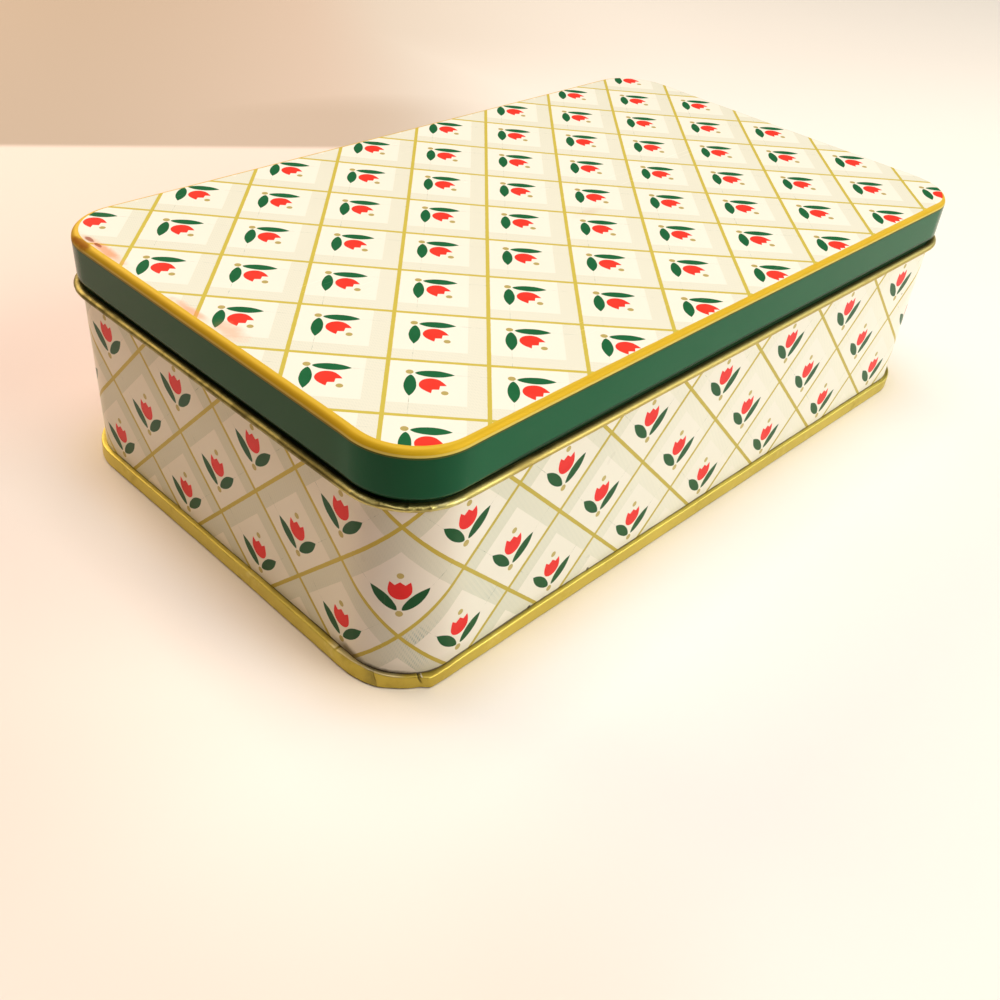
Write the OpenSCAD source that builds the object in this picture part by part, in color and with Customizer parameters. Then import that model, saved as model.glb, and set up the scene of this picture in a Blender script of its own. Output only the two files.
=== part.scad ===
// Rectangular tinplate box for card games, with rounded corners, a
// double-seamed base, a curled bead round the body and a flat lid on two
// small wire-pin hinges at the back.
// Millimetres. +Z up, +X along the long side, the front is -Y.
// Origin: middle of the outline, on the surface the base seam rests on.

/* [Body] */
// Outside length of the printed body wall
body_len = 177.6; // [120:0.2:240]
// Outside width of the printed body wall
body_wid = 103.4; // [80:0.2:160]
// Outside corner radius of the body wall, in plan
corner_r = 12.1; // [10:0.1:18]
// Thickness of the tinplate
sheet_t = 0.3; // [0.25:0.01:0.32]
// Height of the middle of the curled bead above the table
bead_z = 40.5; // [30:0.5:60]
// Outside radius of the curled bead
bead_r = 0.96; // [0.9:0.01:1.1]

/* [Base] */
// Height of the double seam round the base
seam_h = 3.7; // [3.2:0.1:4.5]
// Depth of the recessed base panel below the seam's rest surface
panel_drop = 2.9; // [2.2:0.1:3]

/* [Lid] */
// Depth of the lid's skirt, from its lower edge to the lid's top
skirt_h = 9.15; // [8.8:0.05:14]
// Height of the dark gap between the bead and the lid's lower edge
lid_gap = 1.04; // [1:0.01:1.4]
// How far the lid's skirt stands out beyond the body wall
skirt_out = 0.72; // [0.7:0.01:0.8]
// Radius of the lid's gold upper edge
edge_r = 1.4; // [1:0.1:1.6]
// Radius at which the skirt's lower edge starts to roll inward
roll_r = 1.1; // [1:0.05:1.2]

/* [Collar] */
// How far the collar reaches down inside the body wall
collar_down = 7; // [4:0.5:15]
// Height of the folded hem along the collar's top
collar_hem = 2; // [1:0.1:3]

/* [Hinges] */
// Distance of each hinge's middle from the middle of the tin
hinge_x = 46; // [25:1:60]
// Length of each body knuckle
knuckle_body = 8; // [4:0.5:10]
// Length of the lid knuckle between them
knuckle_lid = 9.6; // [5:0.2:12]
// Radius of the hinge wire
pin_r = 0.5; // [0.48:0.01:0.52]
// Radial running clearance between wire and knuckles
pin_clear = 0.06; // [0.03:0.01:0.08]
// Height of the hinge leaves above the wire
leaf_h = 6; // [4:0.1:6.2]

/* [Hidden] */

t = sheet_t;
gap = 0.02;                           // air between nested folds of sheet
fold_r = 0.5;                         // outside radius of the seam's folds
bead_u = bead_r - t;                  // bead centre, out from the wall face
skirt_z0 = bead_z + bead_r + lid_gap; // lower edge of the lid
lid_z = skirt_z0 + skirt_h;           // top of the lid
collar_z1 = lid_z - t - 0.1;          // top edge of the collar
knuckle_r = pin_r + pin_clear + t;    // outside radius of a knuckle
pivot_u = skirt_out + t - knuckle_r;  // wire, out from the wall face
pivot_z = bead_z + bead_r + 0.18 + knuckle_r;
collar_u = pivot_u - knuckle_r - 0.05;// outer face of the collar's neck
knuckle_gap = 0.2;
hinge_len = 2 * knuckle_body + knuckle_lid + 2 * knuckle_gap;
window_z = pivot_z + knuckle_r + 0.25;// the skirt is cut away below this
roll_in = 0.45;                       // radius to which the roll tightens
roll_a = 50;                          // angle at which it does
base_in = -2 * t - gap;               // inner face of the base's upright wall
seam_out = 3 * t + 3 * gap;           // outer face of the double seam
pivot_y = body_wid / 2 + pivot_u;

// Sweeps a profile, drawn as (distance out from the body wall, height),
// once round the rounded rectangle.
module round_the_tin() {
    for (c = [[1, 1, 0], [-1, 1, 90], [-1, -1, 180], [1, -1, 270]])
        translate([c[0] * (body_len / 2 - corner_r),
                   c[1] * (body_wid / 2 - corner_r), 0])
            rotate([0, 0, c[2]])
                rotate_extrude(angle = 90, $fn = 128)
                    translate([corner_r, 0]) children();
    for (a = [0, 180])
        rotate([0, 0, a]) translate([body_len / 2, 0, 0])
            rotate([90, 0, 0])
                linear_extrude(body_wid - 2 * corner_r, center = true)
                    children();
    for (a = [90, 270])
        rotate([0, 0, a]) translate([body_wid / 2, 0, 0])
            rotate([90, 0, 0])
                linear_extrude(body_len - 2 * corner_r, center = true)
                    children();
}

// Rounded rectangle, offset by u from the body wall's outer face
module plan(u) {
    r = corner_r + u;
    l = body_len + 2 * u;
    w = body_wid + 2 * u;
    square([l - 2 * r, w], center = true);
    square([l, w - 2 * r], center = true);
    for (x = [-1, 1], y = [-1, 1])
        translate([x * (l / 2 - r), y * (w / 2 - r)])
            circle(r, $fn = 128);
}

// Block between two offsets and two heights
module bar(u0, u1, z0, z1) {
    translate([u0, z0]) square([u1 - u0, z1 - z0]);
}

// Bar whose lower corners are rounded outside
module round_bar(u0, u1, z0, z1, r) {
    bar(u0 + r, u1 - r, z0, z1);
    bar(u0, u1, z0 + r, z1 - r);
    for (u = [u0 + r, u1 - r], z = [z0 + r, z1 - r])
        translate([u, z]) circle(r, $fn = 48);
}

// Wall sheet, its curled bead at the top and its hook in the base seam
module wall_profile() {
    bar(-t, 0, 2 * t + gap, bead_z);
    // body hook: out along the seam's floor and up inside it
    bar(-t, 2 * t + 2 * gap, t + gap, 2 * t + gap);
    bar(t + 2 * gap, 2 * t + 2 * gap, 2 * t, seam_h - 2 * t - 0.4);
    // bead, open for a hair's breadth where the curl meets the wall
    translate([bead_u, bead_z])
        difference() {
            circle(bead_r, $fn = 64);
            circle(bead_r - t, $fn = 64);
            polygon([[0, 0], [-2, 0], [-2, -1.6]]);
        }
}

module body_wall() {
    color([0.96, 0.94, 0.86]) {
        round_the_tin() wall_profile();
        // lock seam of the wall sheet, up the middle of the back
        translate([-1.6, body_wid / 2 - t / 2, seam_h + 0.1])
            cube([3.2, t / 2 + t, bead_z - bead_r - 0.25 - seam_h - 0.1]);
    }
}

// Upright wall of the base, its outer seam wall and the hook between
module seam_profile() {
    difference() {
        round_bar(base_in, seam_out, 0, seam_h, fold_r);
        // room for the body wall and the body hook
        bar(-t - gap, gap, t, seam_h + 1);
        bar(-t - gap, seam_out - t, t, 2 * t + 2 * gap);
        bar(t + gap, seam_out - t, t, seam_h - t);
        bar(gap / 2, seam_out - t, t, seam_h - 2 * t - 1.2);
        // the upright turns into the panel
        bar(base_in - 1, -t, panel_drop + t, seam_h + 1);
    }
}

module bottom_panel() {
    color([0.80, 0.69, 0.36]) {
        round_the_tin() seam_profile();
        translate([0, 0, panel_drop]) linear_extrude(t) plan(base_in + t / 2);
        // shallow stiffening step pressed up into the panel
        translate([0, 0, panel_drop + t - 0.05])
            linear_extrude(0.35) difference() {
                plan(-9);
                plan(-10.2);
            }
    }
}

// Neck inside the wall; it steps in above the bead and is hemmed on top
module collar_profile() {
    u = collar_u;
    z_step = bead_z + 0.1;
    bar(-2 * t - gap, -t - gap, bead_z - bead_r - collar_down, z_step);
    polygon([[-t - gap, z_step], [u, z_step + 0.8], [u, z_step + 1.1],
             [u - t, z_step + 1.1], [u - t, z_step + 0.7],
             [-2 * t - gap, z_step - 0.1]]);
    bar(u - t, u, z_step + 1, collar_z1 - t);
    translate([u - t, collar_z1 - t]) circle(t, $fn = 32);
    bar(u - 2 * t, u - t, collar_z1 - collar_hem, collar_z1 - t);
}

module inner_collar() {
    color([0.78, 0.70, 0.42]) round_the_tin() collar_profile();
}

// Slice of a ring of sheet, of outside radius r, from angle a0 to a1
module ring_slice(r, a0, a1) {
    n = ceil((a1 - a0) / 60);
    intersection() {
        difference() {
            circle(r, $fn = 64);
            circle(r - t, $fn = 48);
        }
        polygon(concat([[0, 0]], [for (i = [0:n])
            let(a = a0 + (a1 - a0) * i / n) [3 * r * cos(a), 3 * r * sin(a)]]));
    }
}

// Rounded upper edge, skirt and inward-rolled lower edge of the lid
module skirt_profile() {
    so = skirt_out;
    dr = roll_r - roll_in;
    roll_z = skirt_z0 + roll_in + dr * sin(roll_a);
    difference() {
        translate([so - edge_r, lid_z - edge_r]) circle(edge_r, $fn = 64);
        translate([so - edge_r, lid_z - edge_r]) circle(edge_r - t, $fn = 64);
        bar(so - 3 * edge_r, so - edge_r, lid_z - 3 * edge_r, lid_z + 1);
        bar(so - 3 * edge_r, so + 1, lid_z - 3 * edge_r, lid_z - edge_r);
    }
    bar(so - t, so, roll_z, lid_z - edge_r);
    translate([so - roll_r, roll_z]) ring_slice(roll_r, -roll_a, 0);
    translate([so - roll_r + dr * cos(roll_a), roll_z - dr * sin(roll_a)])
        ring_slice(roll_in, -200, 1 - roll_a);
}

module lid_shell() {
    color([0.20, 0.42, 0.29]) {
        difference() {
            round_the_tin() skirt_profile();
            // windows in the roll, where the hinges' knuckles come through
            for (x = [-hinge_x, hinge_x])
                translate([x - hinge_len / 2 - 0.8, body_wid / 2 - 2, skirt_z0 - 1])
                    cube([hinge_len + 1.6, 4, window_z - skirt_z0 + 1]);
        }
        translate([0, 0, lid_z - t]) linear_extrude(t)
            plan(skirt_out - edge_r);
    }
}

// Hollow knuckle along X, its middle at x
module knuckle(x, len) {
    translate([x - len / 2, pivot_y, pivot_z]) rotate([0, 90, 0])
        difference() {
            cylinder(h = len, r = knuckle_r, $fn = 48);
            translate([0, 0, -1])
                cylinder(h = len + 2, r = pin_r + pin_clear, $fn = 48);
        }
}

// Room inside a knuckle, for cutting a leaf's plate back from the wire
module wire_way(x) {
    translate([x - hinge_len, pivot_y, pivot_z]) rotate([0, 90, 0])
        cylinder(h = 2 * hinge_len, r = pin_r + pin_clear, $fn = 48);
}

// Fixed leaf: two knuckles and a plate welded to the collar's neck
module body_leaf(x) {
    y0 = pivot_y - knuckle_r;
    color([0.72, 0.65, 0.42]) {
        for (s = [-1, 1])
            knuckle(x + s * (hinge_len - knuckle_body) / 2, knuckle_body);
        difference() {
            translate([x - hinge_len / 2, y0, pivot_z])
                cube([hinge_len, t, leaf_h]);
            // notch for the lid's knuckle
            translate([x - knuckle_lid / 2 - knuckle_gap, y0 - 1, pivot_z - 1])
                cube([knuckle_lid + 2 * knuckle_gap, t + 2, knuckle_r + 1.2]);
            wire_way(x);
        }
        // spot welds between the plate and the collar
        for (s = [-1, 0, 1])
            translate([x + s * 9, y0 + t / 2, pivot_z + leaf_h - 2])
                rotate([90, 0, 0])
                    cylinder(h = t / 2 + 0.05, r = 1.2, $fn = 32);
    }
}

// Moving leaf: one knuckle and a plate on the outside of the lid's skirt
module lid_leaf(x) {
    y0 = pivot_y + knuckle_r - t;
    w = knuckle_lid;
    color([0.72, 0.65, 0.42]) {
        knuckle(x, w);
        difference() {
            translate([x - w / 2, y0, pivot_z]) cube([w, t, leaf_h]);
            wire_way(x);
            for (s = [-1, 1])
                translate([x + s * w / 2, y0 - 1, pivot_z + leaf_h])
                    rotate([0, 45, 0])
                        translate([-1.2, 0, -1.2]) cube([2.4, t + 2, 2.4]);
        }
        // pressed spot-weld dimples on the plate
        for (s = [-1, 1])
            translate([x + s * 2.6, y0 + t + 0.08, pivot_z + leaf_h - 2.4])
                rotate([90, 0, 0])
                    cylinder(h = 0.2, r = 0.9, $fn = 32);
    }
}

// Hinge wire with its two peened ends
module pin(x) {
    color([0.66, 0.62, 0.50])
        translate([x - hinge_len / 2, pivot_y, pivot_z]) rotate([0, 90, 0]) {
            translate([0, 0, -0.1])
                cylinder(h = hinge_len + 0.2, r = pin_r, $fn = 48);
            translate([0, 0, -0.45]) cylinder(h = 0.4, r = 0.72, $fn = 48);
            translate([0, 0, hinge_len + 0.05])
                cylinder(h = 0.4, r = 0.72, $fn = 48);
        }
}

module hinge_body_leaf_left() { body_leaf(-hinge_x); }
module hinge_body_leaf_right() { body_leaf(hinge_x); }
module hinge_lid_leaf_left() { lid_leaf(-hinge_x); }
module hinge_lid_leaf_right() { lid_leaf(hinge_x); }
module hinge_pin_left() { pin(-hinge_x); }
module hinge_pin_right() { pin(hinge_x); }

body_wall();
bottom_panel();
inner_collar();
lid_shell();
hinge_body_leaf_left();
hinge_body_leaf_right();
hinge_lid_leaf_left();
hinge_lid_leaf_right();
hinge_pin_left();
hinge_pin_right();
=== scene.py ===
import math

import bpy
import numpy as np
from mathutils import Matrix, Vector
from mathutils.geometry import delaunay_2d_cdt


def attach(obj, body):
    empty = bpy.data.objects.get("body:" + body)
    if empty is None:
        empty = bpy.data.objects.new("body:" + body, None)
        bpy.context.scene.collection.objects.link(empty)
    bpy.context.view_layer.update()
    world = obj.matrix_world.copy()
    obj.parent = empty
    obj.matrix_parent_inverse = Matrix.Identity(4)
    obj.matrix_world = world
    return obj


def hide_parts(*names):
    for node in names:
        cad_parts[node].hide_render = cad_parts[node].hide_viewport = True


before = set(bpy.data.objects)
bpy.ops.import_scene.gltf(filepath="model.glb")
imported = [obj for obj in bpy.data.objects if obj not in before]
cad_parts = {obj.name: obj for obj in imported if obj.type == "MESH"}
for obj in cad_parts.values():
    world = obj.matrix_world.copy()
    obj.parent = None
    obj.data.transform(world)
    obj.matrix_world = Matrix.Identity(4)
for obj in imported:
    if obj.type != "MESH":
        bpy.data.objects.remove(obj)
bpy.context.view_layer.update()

MM = 0.001

# ---------------------------------------------------------------- dimensions
# The same numbers as the construction model, in millimetres.
LEN, WID, RAD = 177.6, 103.4, 12.1      # printed wall band, outside
T = 0.3                                 # tinplate
GAP = 0.02
BEAD_Z, BEAD_R = 40.5, 0.96
BEAD_U = BEAD_R - T
SEAM_H, PANEL_Z = 3.7, 2.9
SKIRT_OUT, EDGE_R = 0.72, 1.4
SKIRT_Z0, LID_Z = 42.5, 51.65
ROLL_R, ROLL_IN, ROLL_A = 1.1, 0.45, 50     # inward roll of the lid's lower edge
HINGE_X, WINDOW_L, WINDOW_Z = 46.0, 27.6, 43.61
H = 24.0                                # diagonal of one trellis cell
ROW0_Z = 36.05                          # first row of crossings on the wall
WALL_S = -0.31                          # the wall's print sits this far off the corner's diagonal
SAG = 0.70                              # the lid's panel is dished by this much in the middle
BEAD_RZ = 0.80                          # the curl is a little flattened
BEAD_DROP = 0.20                        # and its top lies this much lower


def lerp(a, b, t):
    return a + (b - a) * t


# ------------------------------------------------------- walk round the wall
ARC = RAD * math.pi / 2
FLAT_X, FLAT_Y = LEN - 2 * RAD, WID - 2 * RAD
ROUND = 4 * ARC + 2 * FLAT_X + 2 * FLAT_Y
BACK_SEAM = ARC / 2 + FLAT_X + ARC + FLAT_Y + ARC + FLAT_X / 2


def at(s):
    """Foot point and outward normal on the wall's outline, s mm along it from
    the diagonal of the front left corner, first along the front."""
    s = s % ROUND
    cx, cy = LEN / 2 - RAD, WID / 2 - RAD
    parts = [
        ("a", ARC / 2, (-cx, -cy), 225), ("x", FLAT_X, (-cx, -WID / 2), 1),
        ("a", ARC, (cx, -cy), 270), ("y", FLAT_Y, (LEN / 2, -cy), 1),
        ("a", ARC, (cx, cy), 0), ("x", FLAT_X, (cx, WID / 2), -1),
        ("a", ARC, (-cx, cy), 90), ("y", FLAT_Y, (-LEN / 2, cy), -1),
        ("a", ARC / 2, (-cx, -cy), 180),
    ]
    for kind, length, p, k in parts:
        if s <= length + 1e-9:
            if kind == "a":
                a = math.radians(k) + s / RAD
                n = (math.cos(a), math.sin(a))
                return (p[0] + RAD * n[0], p[1] + RAD * n[1]), n
            if kind == "x":
                return (p[0] + k * s, p[1]), (0.0, -float(k))
            return (p[0], p[1] + k * s), (float(k), 0.0)
        s -= length
    return at(0.0)


def stations(step_flat, arc_steps, near_steps):
    """s along the outline from the back seam round to it again, denser on the
    corners and densest round the front left one."""
    s = [-(ROUND - BACK_SEAM)]

    def run(length, n):
        a = s[-1]
        s.extend(a + length * (i + 1) / n for i in range(n))

    run(FLAT_X / 2, max(2, round(FLAT_X / 2 / step_flat)))
    run(ARC, arc_steps)
    run(FLAT_Y - 14, max(2, round((FLAT_Y - 14) / step_flat)))
    run(14, 14 * near_steps // 24)
    run(ARC, near_steps * 2)
    run(14, 14 * near_steps // 24)
    run(FLAT_X - 14, max(2, round((FLAT_X - 14) / step_flat)))
    run(ARC, arc_steps)
    run(FLAT_Y, max(2, round(FLAT_Y / step_flat)))
    run(ARC, arc_steps)
    run(FLAT_X / 2, max(2, round(FLAT_X / 2 / step_flat)))
    return np.array(s)


def hash_noise(seed, n):
    return np.random.RandomState(seed).uniform(-1, 1, n)


def wander(s, pitch, seed):
    """Smooth noise of about one, along s, that closes on itself round the tin."""
    n = max(4, int(round(ROUND / pitch)))
    v = hash_noise(seed, n)
    x = (np.asarray(s, float) / ROUND * n) % n
    i = np.floor(x).astype(int)
    f = x - i
    f = f * f * (3 - 2 * f)
    return v[i % n] * (1 - f) + v[(i + 1) % n] * f


def corner_weight(s, reach=3.0):
    """One on the four rounded corners, fading to nothing on the flats."""
    s = np.asarray(s, float)
    mids = [0, ARC + FLAT_X, 2 * ARC + FLAT_X + FLAT_Y, 3 * ARC + 2 * FLAT_X + FLAT_Y]
    w = np.zeros_like(s)
    for m in mids:
        d = np.abs((s - m + ROUND / 2) % ROUND - ROUND / 2)
        w = np.maximum(w, np.clip(1 - (d - ARC / 2) / reach, 0, 1))
    return w * w * (3 - 2 * w)


# ------------------------------------------------------------- mesh building
def sweep(name, profile, slots, sharp, materials, s, bend=None, caps=(), capslots=(), warp=None, inner=None):
    """A closed sheet: profile points (u, z) carried round the outline.

    slots[i] is the material of the strip from point i to i+1, sharp holds the
    points whose edge stays crisp, bend(s, u, z, i) moves points. caps are point
    numbers whose loops are closed, which opens the profile between its last
    and first point: with one flat face each, or with triangles over the inner
    points (x, y) where those are given. warp(points) moves finished points."""
    pts = np.array(profile, float)
    n, m = len(s) - 1, len(pts)
    foot = np.array([at(x)[0] for x in s[:-1]])
    nor = np.array([at(x)[1] for x in s[:-1]])
    U = np.tile(pts[:, 0], (n, 1))
    Z = np.tile(pts[:, 1], (n, 1))
    if bend:
        dU, dZ = bend(s[:-1], U, Z)
        U, Z = U + dU, Z + dZ
    V = np.empty((n, m, 3))
    V[..., 0] = foot[:, None, 0] + nor[:, None, 0] * U
    V[..., 1] = foot[:, None, 1] + nor[:, None, 1] * U
    V[..., 2] = Z
    flat = V.reshape(-1, 3)
    run = np.concatenate([[0], np.cumsum(np.hypot(*np.diff(pts, axis=0).T))])
    closing = float(np.hypot(*(pts[0] - pts[-1])))
    area = 0.5 * np.sum(pts[:, 0] * np.roll(pts[:, 1], -1) - np.roll(pts[:, 0], -1) * pts[:, 1])
    faces, mats, uvs = [], [], []
    last = m - 1 if caps else m
    for i in range(n):
        j = (i + 1) % n
        for k in range(last):
            l = (k + 1) % m
            r0, r1 = run[k], (run[l] if l else run[k] + closing)
            quad = [i * m + k, j * m + k, j * m + l, i * m + l]
            uv = [(s[i], r0), (s[i + 1], r0), (s[i + 1], r1), (s[i], r1)]
            if area > 0:
                pass
            else:
                quad, uv = quad[::-1], uv[::-1]
            faces.append(quad)
            uvs.extend(uv)
            mats.append(slots[k])
    for c, (k, up) in enumerate(caps):
        ring = [i * m + k for i in range(n)]
        if inner is not None:
            tris = fill([tuple(flat[i, :2]) for i in ring], inner)
            first = len(flat)
            flat = np.vstack([flat, [(x, y, flat[ring[0], 2]) for x, y in inner]])
            for tri in tris:
                tri = [ring[i] if i < n else first + i - n for i in tri]
                tri = tri if up else tri[::-1]
                faces.append(tri)
                uvs.extend((flat[i, 0], flat[i, 1]) for i in tri)
                mats.append(capslots[c])
            continue
        uv = [(s[i], run[k]) for i in range(n)]
        if not up:
            ring, uv = ring[::-1], uv[::-1]
        faces.append(ring)
        uvs.extend(uv)
        mats.append(capslots[c])
    me = bpy.data.meshes.new(name)
    if warp:
        flat = warp(flat.copy())
    me.from_pydata((flat * MM).tolist(), [], faces)
    me.update()
    layer = me.uv_layers.new(name="Wrap")
    layer.data.foreach_set("uv", (np.array(uvs) * MM).astype(np.float32).ravel())
    me.polygons.foreach_set("use_smooth", [True] * len(me.polygons))
    me.polygons.foreach_set("material_index", mats)
    sharp = set(sharp)
    if sharp:
        ev = np.zeros(len(me.edges) * 2, np.int32)
        me.edges.foreach_get("vertices", ev)
        ev = ev.reshape(-1, 2)
        ka, kb = ev[:, 0] % m, ev[:, 1] % m
        flag = (ka == kb) & np.isin(ka, list(sharp)) & (ev.max(1) < n * m)
        me.edges.foreach_set("use_edge_sharp", flag.tolist())
    for mat in materials:
        me.materials.append(mat)
    me.validate()
    ob = bpy.data.objects.new(name, me)
    bpy.context.scene.collection.objects.link(ob)
    return ob


def fill(ring, inner):
    """Triangles over a closed ring and the points inside it."""
    pts = [Vector(p) for p in list(ring) + list(inner)]
    loop = [list(range(len(ring)))]
    co, _, tris, source, _, _ = delaunay_2d_cdt(pts, [], loop, 1, 1e-7)
    assert len(co) == len(pts)
    out = []
    for tri in tris:
        tri = [source[i][0] for i in tri]
        (ax, ay), (bx, by), (cx, cy) = (pts[i] for i in tri)
        area = (bx - ax) * (cy - ay) - (cx - ax) * (by - ay)
        out.append(tri if area > 0 else tri[::-1])
    return out


def cut_box(ob, lo, hi):
    """Cuts a box, given in millimetres, out of a piece's mesh."""
    import bmesh
    me = bpy.data.meshes.new("cutter")
    bm = bmesh.new()
    bmesh.ops.create_cube(bm, size=1.0)
    for v in bm.verts:
        v.co = [MM * (a if c < 0 else b) for c, a, b in zip(v.co, lo, hi)]
    bm.to_mesh(me)
    bm.free()
    cutter = bpy.data.objects.new("cutter", me)
    bpy.context.scene.collection.objects.link(cutter)
    mod = ob.modifiers.new("cut", "BOOLEAN")
    mod.operation, mod.solver, mod.object = "DIFFERENCE", "EXACT", cutter
    bpy.context.view_layer.update()
    done = bpy.data.meshes.new_from_object(ob.evaluated_get(bpy.context.evaluated_depsgraph_get()))
    ob.modifiers.clear()
    old = ob.data
    ob.data = done
    bpy.data.meshes.remove(old)
    bpy.data.objects.remove(cutter)
    bpy.data.meshes.remove(me)


def arc_points(cu, cz, r, a0, a1, n):
    return [(cu + r * math.cos(math.radians(lerp(a0, a1, i / n))),
             cz + r * math.sin(math.radians(lerp(a0, a1, i / n)))) for i in range(n + 1)]


# ------------------------------------------------------------ node shorthand
class Net:
    """Builds math out of shader nodes."""

    def __init__(self, name):
        self.mat = bpy.data.materials.new(name)
        self.mat.use_nodes = True
        self.tree = self.mat.node_tree
        self.tree.nodes.clear()
        self.out = self.node("ShaderNodeOutputMaterial")
        self.bsdf = self.node("ShaderNodeBsdfPrincipled")
        self.link(self.bsdf.outputs[0], self.out.inputs[0])
        self.count = 0

    def node(self, kind, **props):
        n = self.tree.nodes.new(kind)
        for k, v in props.items():
            setattr(n, k, v)
        return n

    def link(self, a, b):
        self.tree.links.new(a, b)

    def feed(self, socket, x):
        if isinstance(x, V):
            self.link(x.s, socket)
        elif isinstance(x, (tuple, list)):
            socket.default_value = x
        elif hasattr(x, "is_output"):
            self.link(x, socket)
        else:
            socket.default_value = x

    def op(self, name, *args):
        n = self.node("ShaderNodeMath", operation=name)
        for i, a in enumerate(args):
            self.feed(n.inputs[i], a)
        return V(self, n.outputs[0])

    def step(self, x, lo, hi, a=0.0, b=1.0, smooth=True):
        """a at lo to b at hi, smoothed and held beyond."""
        n = self.node("ShaderNodeMapRange", interpolation_type="SMOOTHSTEP" if smooth else "LINEAR")
        if hi < lo:
            lo, hi, a, b = hi, lo, b, a
        for i, v in enumerate((x, lo, hi, a, b)):
            self.feed(n.inputs[i], v)
        return V(self, n.outputs[0])

    def noise(self, vec, scale, detail=2.0, rough=0.5, seed=0.0, dims="3D", color=False, warp=0.0):
        n = self.node("ShaderNodeTexNoise", noise_dimensions=dims)
        off = self.node("ShaderNodeVectorMath", operation="ADD")
        self.feed(off.inputs[0], vec)
        off.inputs[1].default_value = (seed * 1.37, seed * -0.71, seed * 0.53)
        self.link(off.outputs[0], n.inputs["Vector"])
        n.inputs["Scale"].default_value = scale
        n.inputs["Detail"].default_value = detail
        n.inputs["Roughness"].default_value = rough
        n.inputs["Distortion"].default_value = warp
        return V(self, n.outputs["Color" if color else "Fac"])

    def mix(self, fac, a, b):
        n = self.node("ShaderNodeMix", data_type="RGBA")
        self.feed(n.inputs[0], fac)
        for i, c in ((6, a), (7, b)):
            self.feed(n.inputs[i], c if not isinstance(c, tuple) else (*c[:3], 1.0))
        return V(self, n.outputs[2])

    def tint(self, c, by, fac=1.0):
        n = self.node("ShaderNodeMix", data_type="RGBA", blend_type="MULTIPLY")
        self.feed(n.inputs[0], fac)
        for i, x in ((6, c), (7, by)):
            self.feed(n.inputs[i], x if not isinstance(x, tuple) else (*x[:3], 1.0))
        return V(self, n.outputs[2])

    def bump(self, height, distance, strength=1.0, normal=None):
        n = self.node("ShaderNodeBump")
        n.inputs["Strength"].default_value = strength
        n.inputs["Distance"].default_value = distance
        self.feed(n.inputs["Height"], height)
        if normal is not None:
            self.link(normal, n.inputs["Normal"])
        return n.outputs["Normal"]


class V:
    """A scalar in a Net, with arithmetic."""

    def __init__(self, net, socket):
        self.n, self.s = net, socket

    def __add__(self, o):
        return self.n.op("ADD", self, o)

    __radd__ = __add__

    def __sub__(self, o):
        return self.n.op("SUBTRACT", self, o)

    def __rsub__(self, o):
        return self.n.op("SUBTRACT", o, self)

    def __mul__(self, o):
        return self.n.op("MULTIPLY", self, o)

    __rmul__ = __mul__

    def __truediv__(self, o):
        return self.n.op("DIVIDE", self, o)

    def __neg__(self):
        return self.n.op("MULTIPLY", self, -1.0)

    def abs(self):
        return self.n.op("ABSOLUTE", self)

    def fract(self):
        return self.n.op("FRACT", self)

    def min(self, o):
        return self.n.op("MINIMUM", self, o)

    def max(self, o):
        return self.n.op("MAXIMUM", self, o)

    def sqrt(self):
        return self.n.op("SQRT", self)

    def pow(self, o):
        return self.n.op("POWER", self, o)

    def sin(self):
        return self.n.op("SINE", self)

    def inv(self):
        return self.n.op("SUBTRACT", 1.0, self)


def split(net, socket):
    n = net.node("ShaderNodeSeparateXYZ")
    net.link(socket, n.inputs[0])
    return [V(net, o) for o in n.outputs]


# --------------------------------------------------------------- the print
# the wall's inks, and lighter copies of them for the lid: the same print, drawn lighter on the lid's top as painted
# light
CREAM = (0.90, 0.870, 0.780)
CREAM_LID = (0.945, 0.925, 0.815)
SAGE = (0.750, 0.752, 0.635)
SAGE_LID = (0.835, 0.845, 0.715)
SAGE_DARK = (0.33, 0.44, 0.42)
GOLD_INK = (0.54, 0.43, 0.070)
GOLD_LID = (0.72, 0.60, 0.105)
GOLD_DOT = (0.48, 0.375, 0.065)
LEAF = ((0.003, 0.074, 0.018), (0.006, 0.104, 0.028))
LEAF_LID = ((0.014, 0.118, 0.042), (0.022, 0.155, 0.060))
FLOWER = ((0.80, 0.014, 0.015), (0.90, 0.032, 0.029))
FLOWER_LID = ((0.87, 0.040, 0.026), (0.96, 0.062, 0.042))
AA = 0.0012


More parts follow.
